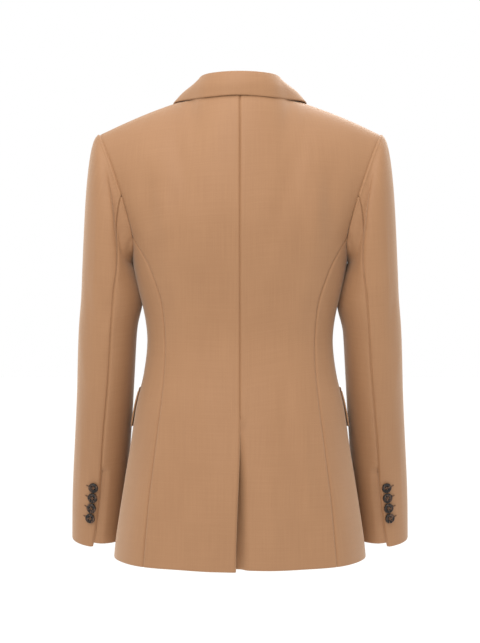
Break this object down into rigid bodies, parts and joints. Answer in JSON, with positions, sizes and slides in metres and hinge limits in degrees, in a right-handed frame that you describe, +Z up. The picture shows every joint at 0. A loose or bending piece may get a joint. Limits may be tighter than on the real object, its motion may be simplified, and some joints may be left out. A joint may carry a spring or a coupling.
{
  "type": "blazer",
  "caption": "Single-breasted wool blazer, filled out as worn: notch lapels, princess back seams, centre vent, flap pockets and buttoned cuffs.",
  "frame": {"origin": "middle of the line over the shoulders at the base of the neck, where the garment hangs on its wearer", "axes": "+Z up, +X towards the wearer's left, +Y towards the back; the front faces -Y"},
  "size_m": [0.5002, 0.2652, 0.7095],
  "materials": {
    "wool_cloth": "smooth fine twill with a soft sheen",
    "horn_button": "polished dark brown horn"
  },
  "bodies": {
    "root": {"back_left": "wool_cloth", "side_left": "wool_cloth", "front_left": "wool_cloth", "lapel_left": "wool_cloth", "top_sleeve_left": "wool_cloth", "under_sleeve_left": "wool_cloth", "pocket_flap_left": "wool_cloth", "pocket_jet_left": "wool_cloth", "cuff_button_left_1": "horn_button", "cuff_button_left_2": "horn_button", "cuff_button_left_3": "horn_button", "cuff_button_left_4": "horn_button", "back_right": "wool_cloth", "side_right": "wool_cloth", "front_right": "wool_cloth", "lapel_right": "wool_cloth", "top_sleeve_right": "wool_cloth", "under_sleeve_right": "wool_cloth", "pocket_flap_right": "wool_cloth", "pocket_jet_right": "wool_cloth", "cuff_button_right_1": "horn_button", "cuff_button_right_2": "horn_button", "cuff_button_right_3": "horn_button", "cuff_button_right_4": "horn_button", "collar": "wool_cloth", "front_button": "horn_button"}
  },
  "joints": []
}
